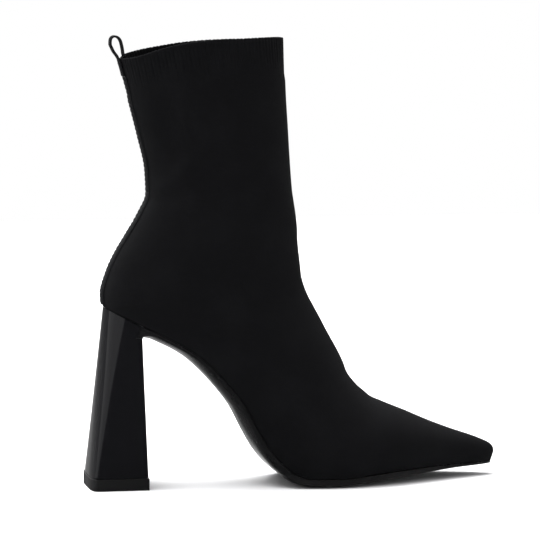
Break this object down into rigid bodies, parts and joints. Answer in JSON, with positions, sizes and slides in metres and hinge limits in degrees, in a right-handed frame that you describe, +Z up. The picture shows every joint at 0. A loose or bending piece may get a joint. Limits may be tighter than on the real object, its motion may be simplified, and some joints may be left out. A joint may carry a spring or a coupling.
{
  "type": "sock boot",
  "caption": "Black knit sock boot with a ribbed cuff, a pull loop, a pointed toe, a thin sole and a high flared block heel in gloss black.",
  "frame": {"origin": "on the floor, under the middle of the boot's footprint box", "axes": "+X towards the toe, +Y towards the inner side of the foot, +Z up the shaft"},
  "size_m": [0.2352, 0.0758, 0.2506],
  "materials": {
    "knit": "matt fine knit",
    "gloss": "high gloss",
    "rubber": "satin",
    "ribbon": "matt woven tape",
    "lining": "matt"
  },
  "bodies": {
    "root": {"upper": "knit", "insole": "lining", "outsole": "rubber", "heel": "gloss", "top_lift": "rubber", "backstay": "ribbon", "pull_loop": "ribbon"}
  },
  "joints": []
}
